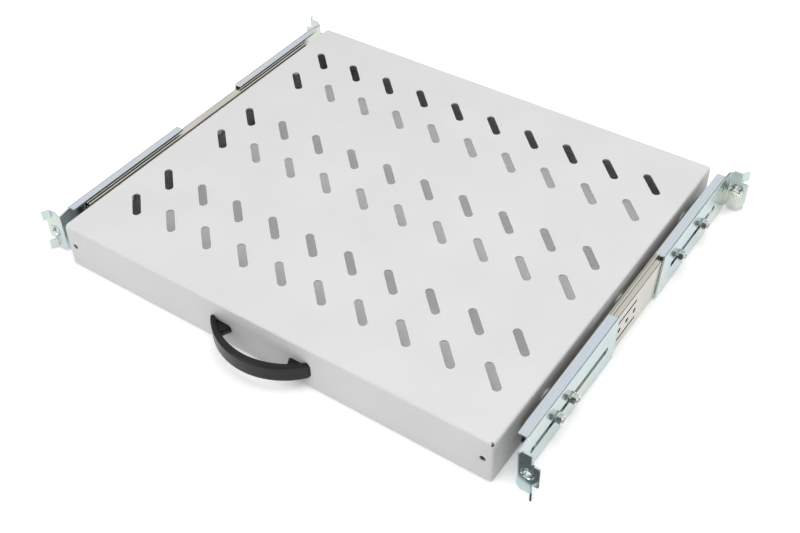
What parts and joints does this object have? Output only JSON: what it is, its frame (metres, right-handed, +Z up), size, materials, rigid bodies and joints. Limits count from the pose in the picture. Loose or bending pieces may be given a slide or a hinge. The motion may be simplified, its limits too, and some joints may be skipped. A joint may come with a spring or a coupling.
{
  "type": "sliding rack shelf",
  "caption": "Shallow vented tray with a front pull handle on two telescopic ball slides, with hooked depth-adjustable brackets that fasten to the posts of an equipment rack.",
  "frame": {"origin": "midway between the two front rack holes, on the front face of the front ears", "axes": "+X to the right, +Y to the back of the rack, +Z up"},
  "size_m": [0.484, 0.4046, 0.0426],
  "materials": {
    "grey_powder_coat": "fine textured powder coat, satin",
    "handle_plastic": "fine moulded grain",
    "bumper_plastic": "moulded",
    "zinc_plate": "bright blue passivated zinc",
    "rail_steel": "bright zinc, cold rolled",
    "plated_fastener": "bright zinc",
    "cage_steel": "plain stamped steel",
    "ball_steel": "polished"
  },
  "bodies": {
    "rack_rails": {"left_outer_rail": "rail_steel", "left_rear_bumper": "bumper_plastic", "right_outer_rail": "rail_steel", "right_rear_bumper": "bumper_plastic", "front_left_clamp_studs": "plated_fastener", "front_left_clamp_washers": "plated_fastener", "front_left_clamp_nuts": "plated_fastener", "rear_left_clamp_studs": "plated_fastener", "rear_left_clamp_washers": "plated_fastener", "rear_left_clamp_nuts": "plated_fastener", "front_right_clamp_studs": "plated_fastener", "front_right_clamp_washers": "plated_fastener", "front_right_clamp_nuts": "plated_fastener", "rear_right_clamp_studs": "plated_fastener", "rear_right_clamp_washers": "plated_fastener", "rear_right_clamp_nuts": "plated_fastener"},
    "shelf": {"tray": "grey_powder_coat", "handle": "handle_plastic", "handle_screws": "plated_fastener", "left_inner_rail": "rail_steel", "left_front_bumper": "bumper_plastic", "left_slide_screws": "plated_fastener", "left_slide_nuts": "plated_fastener", "right_inner_rail": "rail_steel", "right_front_bumper": "bumper_plastic", "right_slide_screws": "plated_fastener", "right_slide_nuts": "plated_fastener"},
    "left_middle": {"left_middle_rail": "rail_steel"},
    "left_outer_cage": {"left_outer_ball_cage": "cage_steel", "left_outer_balls": "ball_steel"},
    "left_inner_cage": {"left_inner_ball_cage": "cage_steel", "left_inner_balls": "ball_steel"},
    "right_middle": {"right_middle_rail": "rail_steel"},
    "right_outer_cage": {"right_outer_ball_cage": "cage_steel", "right_outer_balls": "ball_steel"},
    "right_inner_cage": {"right_inner_ball_cage": "cage_steel", "right_inner_balls": "ball_steel"},
    "front_left_arm": {"front_left_bracket": "zinc_plate"},
    "front_right_arm": {"front_right_bracket": "zinc_plate"},
    "rear_left_arm": {"rear_left_bracket": "zinc_plate", "rear_left_rack_screw": "plated_fastener", "rear_left_rack_washer": "plated_fastener"},
    "rear_right_arm": {"rear_right_bracket": "zinc_plate", "rear_right_rack_screw": "plated_fastener", "rear_right_rack_washer": "plated_fastener"}
  },
  "joints": [
    {"name": "shelf_pull", "type": "slide", "parent": "rack_rails", "child": "shelf", "axis": [0, -1, 0], "range_m": [0, 0.3]},
    {"name": "left_middle_slide", "type": "slide", "parent": "rack_rails", "child": "left_middle", "axis": [0, -1, 0], "range_m": [0, 0.15]},
    {"name": "left_outer_cage_slide", "type": "slide", "parent": "rack_rails", "child": "left_outer_cage", "axis": [0, -1, 0], "range_m": [0, 0.075]},
    {"name": "left_inner_cage_slide", "type": "slide", "parent": "rack_rails", "child": "left_inner_cage", "axis": [0, -1, 0], "range_m": [0, 0.225]},
    {"name": "right_middle_slide", "type": "slide", "parent": "rack_rails", "child": "right_middle", "axis": [0, -1, 0], "range_m": [0, 0.15]},
    {"name": "right_outer_cage_slide", "type": "slide", "parent": "rack_rails", "child": "right_outer_cage", "axis": [0, -1, 0], "range_m": [0, 0.075]},
    {"name": "right_inner_cage_slide", "type": "slide", "parent": "rack_rails", "child": "right_inner_cage", "axis": [0, -1, 0], "range_m": [0, 0.225]},
    {"name": "front_left_depth", "type": "slide", "parent": "rack_rails", "child": "front_left_arm", "axis": [0, 1, 0], "range_m": [-0.055, 0.035]},
    {"name": "front_right_depth", "type": "slide", "parent": "rack_rails", "child": "front_right_arm", "axis": [0, 1, 0], "range_m": [-0.055, 0.035]},
    {"name": "rear_left_depth", "type": "slide", "parent": "rack_rails", "child": "rear_left_arm", "axis": [0, 1, 0], "range_m": [-0.024, 0.012]},
    {"name": "rear_right_depth", "type": "slide", "parent": "rack_rails", "child": "rear_right_arm", "axis": [0, 1, 0], "range_m": [-0.024, 0.012]}
  ],
  "couplings": [
    {"joint": "left_middle_slide", "follows": "shelf_pull", "ratio": 0.5},
    {"joint": "left_outer_cage_slide", "follows": "shelf_pull", "ratio": 0.25},
    {"joint": "left_inner_cage_slide", "follows": "shelf_pull", "ratio": 0.75},
    {"joint": "right_middle_slide", "follows": "shelf_pull", "ratio": 0.5},
    {"joint": "right_outer_cage_slide", "follows": "shelf_pull", "ratio": 0.25},
    {"joint": "right_inner_cage_slide", "follows": "shelf_pull", "ratio": 0.75}
  ]
}
